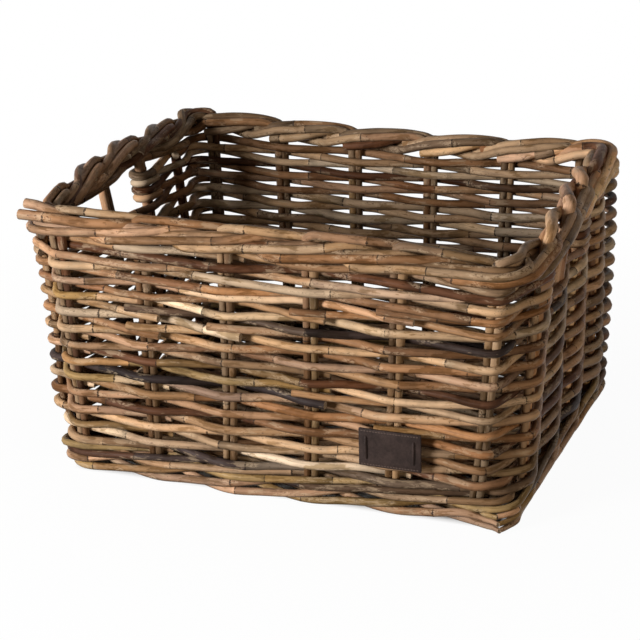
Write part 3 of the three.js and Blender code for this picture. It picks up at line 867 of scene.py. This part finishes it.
def add_tips(knots, which):
    """The knots of a rod, with a tip put on each end."""
    (out, z), (last_out, last_z) = (FOOT_TIPS[(half + 2 * which) % TURN] for half in TIP_HALVES)
    start = [(TIP_STATION, out - TIP_SHORTER, z)] + [(u, n, z) for u, n in TIP_START]
    end = [(u, n, last_z) for u, n in TIP_END] + [(TIP_STATION + STATIONS, last_out, last_z)]
    return start + knots[1:] + end


for which in range(3):
    rng = random.Random(FOOT_SEED + which)
    rods = []
    for number, (first, radius, turn) in enumerate(FOOT_ROUNDS):
        halves = range(first, first + 2 * STATIONS)
        knots = [(half / 2, *turn[(half + 2 * which) % TURN]) for half in halves]
        if number == 0:
            knots = add_tips(knots, which)
        rods.append(rod(woven(knots, rng, FOOT_WAVER), radius, rng, FOOT_TAPER, FOOT_TONES))
    make_piece(f"foot_rod_{which + 1}", rods)
print("foot of two rounds, three rods each")

# %% [markdown]
# The border is the hardest part. Each stake bends over at the top, passes inside the next
# pair, comes out below, climbs along the outside of two pairs, goes over the top and ends
# inside with a cut. Both stakes of a pair do this, one outside the other. The tables give a
# strand's way as its age in stations, its distance outside and its height. On the right, at
# the back and on the left the strands lie differently, with their own starts and tails.

# %% Ways of the border
OUTER_START = ((-0.042, 0.3, 242), (-0.03, 0.8, 247), (0.04, 1.4, 250), (0.16, 1.2, 250.4),
               (0.5, -1.5, 249.2), (0.8, -5, 247.8), (1, -7.3, 246.4))
RIGHT_START = ((-0.042, 0.3, 242), (-0.03, 1.2, 247), (0.04, 1.4, 250.4), (0.16, -0.5, 252),
               (0.45, -6.5, 251.2), (0.7, -9.8, 248.2), (0.9, -9.8, 245), (1.05, -8.2, 242.4))
BACK_START = ((-0.042, 0.3, 239), (-0.025, 0.8, 243.4), (0.05, 1.4, 246.4), (0.18, 1.2, 248.2),
              (0.42, -0.8, 249.6), (0.66, -3.2, 249.2), (0.85, -5.5, 247.8), (1, -7.3, 246.4))
OUTER_THROUGH = ((1.2, -6, 241), (1.4, 1.5, 233), (1.55, 7.5, 229.5))
OUTER_TAIL = ((3.25, 6, 242), (3.4, 0.5, 243), (3.55, -5.5, 240.5), (3.75, -9, 236.5),
              (3.95, -9.8, 234), (4.1, -9.6, 232.6))
RIGHT_TAIL = ((3.2, 6, 240.5), (3.35, 1, 240), (3.5, -4.5, 236.5), (3.62, -7.5, 232))
BACK_LOOP = ((3.28, 9, 243.5), (3.5, 8, 247.5), (3.68, 6.2, 249.8), (3.82, 3.4, 250.4),
             (3.95, 0.5, 249.6), (4.15, -4.5, 246), (4.4, -8.5, 241), (4.6, -9.5, 237))
LEFT_TAIL = ((3.2, 9, 245.8), (3.4, 6, 249.6), (3.6, 0.5, 251), (3.8, -5.5, 248),
             (4, -10, 243), (4.2, -11.5, 238))
INNER_START = ((0.042, -0.5, 238), (0.06, -2.5, 243.5), (0.15, -5.5, 247), (0.4, -8.6, 247.5),
               (0.7, -11.5, 245.5), (1, -13.2, 242.5))
INNER_RIGHT = ((0.042, -0.5, 238), (0.06, -2.5, 242), (0.15, -5, 243.5), (0.4, -7.5, 242.5),
               (0.7, -9.5, 240), (1, -11, 237.8))
INNER_THROUGH = ((1.2, -11, 237.5), (1.4, -4, 232), (1.6, 3, 231.5))
INNER_TAIL = ((3.1, 3, 242.5), (3.25, -2, 240), (3.35, -4, 238))
OUTER_STARTS = {**dict.fromkeys(range(5, 9), RIGHT_START),
                **dict.fromkeys(range(9, 15), BACK_START)}
INNER_STARTS = dict.fromkeys(range(5, 9), INNER_RIGHT)
OUTER_TAILS = {**dict.fromkeys(range(3, 6), RIGHT_TAIL), 6: BACK_LOOP,
               **dict.fromkeys(range(12, 16), LEFT_TAIL)}
OUTER_FLOAT, INNER_FLOAT = (9.8, 228.4), (4.8, 232)
FLOAT_AGES, FLOAT_FROM, FLOAT_RISE = np.arange(1.75, 3.1, 0.25), 1.5, 7.5
LEFT_FLOATS, LEFT_RISE = range(13, 18), 1.5
CORNER_STATION, CORNER_AGE = 17, 2.2
CORNER_TAIL = ((2.3, 2, 238), (2.42, -4, 236))
STRAND_LIFT, STRAND_OUT = 0.8, 0.5


def border_knots(station, leading, rng):
    """A strand's way: over the top, through the wall, along the outside and in again."""
    if leading:
        start, through, tail = INNER_STARTS.get(station, INNER_START), INNER_THROUGH, INNER_TAIL
    else:
        start, through = OUTER_STARTS.get(station, OUTER_START), OUTER_THROUGH
        tail = OUTER_TAILS.get(station, OUTER_TAIL)
    n, low = INNER_FLOAT if leading else OUTER_FLOAT
    low += LEFT_RISE if station in LEFT_FLOATS else 0
    floats = [(age, n, low + FLOAT_RISE * (age - FLOAT_FROM)) for age in FLOAT_AGES]
    way = [*start, *through, *floats, *tail]
    if station == CORNER_STATION:
        way = [knot for knot in way if knot[0] < CORNER_AGE] + list(CORNER_TAIL)
    lift, out = rng.uniform(-STRAND_LIFT, STRAND_LIFT), rng.uniform(-STRAND_OUT, STRAND_OUT)
    return [(station + age, n + out, z + lift) for age, n, z in way]


print("border strands at", STATIONS, "stations")

# %% [markdown]
# A stake goes down from one border, across the floor and up to the opposite border, so each
# rod has a strand at both its ends. The strands are thicker than the stakes between them, and
# those of the right wall are widest where they bend over the top. The colour carries painted
# light and shade: the stakes below the strands are painted darker as shade, the pair at the
# front right corner most, the strands of the front and back are painted darker, those of the
# right wall much lighter and those of the left a little lighter, and the right wall's strands
# less light where they bend over the top and at their cut ends. At the front left corner two
# rods poke out beyond the border.

# %% Stakes and border
PAIR_OFFSET = 3.5
STAKE_RADIUS, STAKE_WAVER, STAKE_TOP, STAKE_KNOTS = 3.35, 0.3, 230, 7
WARP_HEIGHT, RUNNER_HEIGHT = 10, 3.3
FOOT_BEND, BEND_SLANT, BEND_KNOTS, ACROSS_KNOTS = 12, 0.2, 7, 60
STRAND_LENGTH, STRAND_EASE = 330, 0.03
TAIL_FULL, TAIL_TO, HEAD_FROM, HEAD_FULL = 0.25, 0.34, 0.62, 0.74
# Painted shade: the stakes below the strands are darkened, the front right corner pair most.
# Each look gives the strands' thickness and their painted light and shade, over the top and at
# the cut end too.
WALL_SHADE, CORNER_SHADE, SHADED_STATION = 0.72, 0.32, 5
LONG_LOOK = {"swell": (1.22, 1.22), "head": (1, 1, 1), "painted_shading": (0.78, 0.7)}
END_LOOK = {"swell": (1.36, 1.2), "head": (1.32, 0.56, 0.6), "painted_shading": (3.1, 1.12)}
STAKES = (
    ("long", range(6), 15, 600, WARP_HEIGHT, TONES[:8], LONG_LOOK),
    ("end", range(6, 10), 25, 800, RUNNER_HEIGHT, TONES[2:8], END_LOOK),
)
TIP_RADIUS, TIP_TONES, TIP_UNITS = 4.7, TONES[2:4], (1, BAY)
CORNER_TIPS = (
    ((-231, -181.5, 246), (-216, -182, 246), (-197, -182.5, 245.5), (-158, -182, 244.5),
     (-138, -179, 245), (-124, -171, 243), (-110, -164, 239)),
    ((-227, -176, 255), (-214, -176.5, 254), (-202, -175, 250), (-188, -171, 244.5)),
)


def stake_line(station, leading, foot, rng):
    """A stake from the foot up its wall and along the border to its cut end."""
    at = (PAIR_OFFSET if leading else -PAIR_OFFSET) / BAY
    up = [(station + at, 0, h) for h in np.linspace(foot, STAKE_TOP, STAKE_KNOTS)]
    return woven(up + border_knots(station, leading, rng), rng, STAKE_WAVER)


def foot_bend(corner, way, angles):
    """The bend of a stake from its wall, at a corner, into the floor."""
    return [corner + way * FOOT_BEND * (1 - math.cos(a)) - (0, 0, FOOT_BEND * math.sin(a))
            for a in angles]


def stake_rod(station, opposite, leading, height, rng, tones, swell, head, painted_shading):
    """A stake with both its walls and its two border strands."""
    first = stake_line(station, leading, height + FOOT_BEND, rng)[::-1]
    last = stake_line(opposite, not leading, height + FOOT_BEND, rng)
    way = last[0] - first[-1]
    way[2] = 0
    way /= np.linalg.norm(way)
    angles = np.linspace(BEND_SLANT, math.pi / 2, BEND_KNOTS)
    down = foot_bend(first[-1], way, angles)
    up = foot_bend(last[0], -way, angles[::-1])
    across = np.linspace(down[-1], up[0], ACROSS_KNOTS)[1:-1]
    line = np.concatenate([first, down, across, up, last])
    strand = STRAND_LENGTH / np.linalg.norm(np.diff(line, axis=0), axis=1).sum()
    bends = [part * strand for part in (0, TAIL_FULL, TAIL_TO, HEAD_FROM, HEAD_FULL, 1)]
    bends += [strand + STRAND_EASE, 1 - strand - STRAND_EASE, 1 - strand, 1]
    # Painted light and shade along the rod: the strands are brightened or darkened, and the
    # stakes between them darkened as shade.
    (thick, last_thick), (light, last_light), (wide, top, end) = swell, painted_shading, head
    shade = CORNER_SHADE if station == SHADED_STATION else WALL_SHADE
    widths = [thick] * 4 + [thick * wide] * 2 + [1, 1] + [last_thick] * 2
    lights = [light * end] * 2 + [light] * 2 + [light * top] * 2
    lights += [light * shade, last_light * shade, last_light, last_light]
    return rod(line, STAKE_RADIUS, rng, (bends, widths), tones, (bends, lights))


made = 0
for wall, stations, facing, seed, height, tones, look in STAKES:
    for i, (station, k) in enumerate((station, k) for station in stations for k in (0, 1)):
        rng = random.Random(seed + i)
        rods = [stake_rod(station, facing - station, k == 1, height, rng, tones, **look)]
        if station == 0:
            tip = smooth(CORNER_TIPS[k], TIP_UNITS[k])
            rods.append(rod(tip, TIP_RADIUS, rng, tones=TIP_TONES))
        make_piece(f"{wall}_wall_stake_{i // 2 + 1}{'ab'[k]}", rods)
        made += 1
print(made, "stakes, each with two border strands")

# %% [markdown]
# The floor is woven to and fro over and under the front-to-back pairs, between the four
# runners that the basket stands on. One rod fills the gap between two runners.

# %% Floor of the basket
FLOOR_UNDER, FLOOR_OVER = 3.3, 16.9
FLOOR_RADIUS, FLOOR_SEED = 3, 60
END_PAIRS = (-108.5, -31.5, 45.5, 122.5)
END_SPACE = 77
RUN_SPACE = 7.7
RUNS = (range(4, 10), range(1, 10), range(1, 10), range(1, 10), range(1, 5))
FLOOR_TURN = ((8, 0.08), (11.2, 0.5), (8, 0.92))


def floor_rod(places, first_run, rng):
    """One rod to and fro over the pairs of the floor."""
    knots = []
    for k, y in enumerate(places):
        back = 0.5 + y / (2 * DEPTH_FOOT)
        columns = [f * (1 - back) + b * back for f, b in zip(FRONT_FOOT, BACK_FOOT)]
        way = 1 if k % 2 == 0 else -1
        order = range(len(columns))[::way]
        heights = [FLOOR_OVER if (i + k + first_run) % 2 == 0 else FLOOR_UNDER for i in order]
        for j, (i, z) in enumerate(zip(order, heights)):
            knots.append((columns[i], y, z))
            if j + 1 < len(order):
                middle = (columns[i] + columns[i + way]) / 2
                knots.append((middle, y, (z + heights[j + 1]) / 2))
        if k + 1 < len(places):
            x, z, y2 = columns[order[-1]], heights[-1], places[k + 1]
            z2 = FLOOR_UNDER if z == FLOOR_OVER else FLOOR_OVER
            for out, t in FLOOR_TURN:
                knots.append((x + way * out, y + (y2 - y) * t, z + (z2 - z) * t))
    return rod(smooth(knots), FLOOR_RADIUS, rng)


runs = 0
for gap, (low, steps) in enumerate(zip((END_PAIRS[0] - END_SPACE, *END_PAIRS), RUNS)):
    places = [low + k * RUN_SPACE for k in steps]
    made = floor_rod(places, runs, random.Random(FLOOR_SEED + gap))
    make_piece(f"floor_rod_{gap + 1}", [made])
    runs += len(places)
print(runs, "runs of floor rod")

# %% [markdown]
# The label's leather is dark brown, worn in places and finely pebbled by Voronoi cells. The
# thread is a little lighter, with fibres of fine noise.

# %% Leather and thread
LEATHER = (0.017, 0.009, 0.007, 1), (0.038, 0.023, 0.019, 1)
THREAD = (0.045, 0.028, 0.023, 1), (0.13, 0.088, 0.07, 1)


def leather_skin():
    """Dark leather with a fine pebble."""
    material, sheet = new_material("dark_leather")
    place, ramp = sheet.place(), sheet.ramp
    pebble = sheet.add("TexVoronoi", Vector=place, Scale=900).outputs["Distance"]
    fine = sheet.noise(place, Scale=420, Detail=4)
    wear = sheet.noise(place, Scale=70, Detail=5, Roughness=0.7)
    colour = sheet.mix("MIX", ramp(wear, (0.38, 0), (0.72, 1)), *LEATHER)
    colour = sheet.mix("MULTIPLY", 0.5, colour, ramp(fine, (0.3, 0.45), (0.6, 1)))
    sheet.show_rough(colour, pebble, 0.45, 0.4 * MM, Specular_IOR_Level=0.16,
                     Roughness=ramp(fine, (0.3, 0.72), (0.7, 0.5)))
    return material


DARK_LEATHER = leather_skin()
WAXED_THREAD = grainy("waxed_thread", THREAD, None, 0.4, 0.2 * MM, 0.6, Scale=2200, Detail=3)
print("finishes:", DARK_LEATHER.name, WAXED_THREAD.name)

# %% [markdown]
# The label starts as a cube at its size, gets round edges from a bevel, is cut into a grid so
# that it can bend, and is laid on the wall point by point. A leather lace near each end holds
# it to the rods, and a row of small stitches runs along its long edges.

# %% Label
LABEL_SIZE = (57, 35.5, 2.4)
LABEL_MIDDLE = (114.8, 65)
LABEL_OUT, LABEL_BEND, LABEL_CURVE = 11.2, 0.7, 24
LABEL_EDGE, EDGE_STEPS, LABEL_CUTS = 0.9, 3, 5
LABEL_MERGE, LABEL_CREASE = 1e-7, 45
LACE_FROM_END, LACE_RADIUS, LACE_LEAN = 6.8, 1.15, 0.012
LACE_HALF = ((10.5, -3.9), (10.5, -1.2), (10, -0.3), (9, 0))
LACE_OVER, LACE_RISE = 0.5, 0.35
STITCHES, STITCH_SPACE, STITCH_START, STITCH_EDGE = 20, 2.66, 3.2, 2
STITCH_RADIUS = 0.42
STITCH = ((-0.8, -0.35), (-0.55, 0.1), (0.55, 0.1), (0.8, -0.35))
THREAD_STEPS = 2


def on_label(x, h, n):
    """A place on the label: x and h from its middle, n outside its back."""
    z = LABEL_MIDDLE[1] + h
    out = LABEL_OUT + n + LABEL_BEND * math.cos(x / LABEL_CURVE)
    return LABEL_MIDDLE[0] + x, -between(DEPTH_FOOT, DEPTH_RIM, z) - out, z


def cut_label():
    """The label's leather, bent along the wall."""
    bpy.ops.mesh.primitive_cube_add(size=1)
    piece = bpy.context.object
    piece.name = "label_leather"
    piece.scale = [c * MM for c in LABEL_SIZE]
    bpy.ops.object.transform_apply(location=False, rotation=False, scale=True)
    bevel = piece.modifiers.new("edge", "BEVEL")
    bevel.width = LABEL_EDGE * MM
    bevel.segments = EDGE_STEPS
    bpy.ops.object.modifier_apply(modifier=bevel.name)
    bpy.ops.object.mode_set(mode="EDIT")
    bpy.ops.mesh.select_all(action="SELECT")
    bpy.ops.mesh.subdivide(number_cuts=LABEL_CUTS)
    bpy.ops.object.mode_set(mode="OBJECT")
    for v in piece.data.vertices:
        x, h, n = (c / MM for c in v.co)
        v.co = [c * MM for c in on_label(x, h, n + LABEL_SIZE[2] / 2)]
    return piece


def finish_part(piece, material, node):
    """Closes a part of the label, in place of a node if it has one."""
    piece.data.materials.append(material)
    sealed(piece, LABEL_MERGE, LABEL_CREASE, outward=True)
    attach(piece, "root")
    if node:
        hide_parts(node)


finish_part(cut_label(), DARK_LEATHER, "label")
long, tall, top = LABEL_SIZE
for name, way in (("stitch_left", -1), ("stitch_right", 1)):
    path = [(-h, n) for h, n in LACE_HALF] + [(0, LACE_RISE)] + list(reversed(LACE_HALF))
    x = way * (long / 2 - LACE_FROM_END)
    line = [on_label(x + way * LACE_LEAN * h, h, top + LACE_OVER + n) for h, n in path]
    lace = swept(name + "_lace", [line], LACE_RADIUS, THREAD_STEPS)
    finish_part(lace, DARK_LEATHER, name)
stitches = []
for h in (STITCH_EDGE - tall / 2, tall / 2 - STITCH_EDGE):
    for k in range(STITCHES):
        x = STITCH_START - long / 2 + k * STITCH_SPACE
        stitches.append([on_label(x + along, h, top + n) for along, n in STITCH])
thread = swept("label_edge_stitches", stitches, STITCH_RADIUS, THREAD_STEPS)
finish_part(thread, WAXED_THREAD, None)
print("label with two laces and", len(stitches), "stitches")
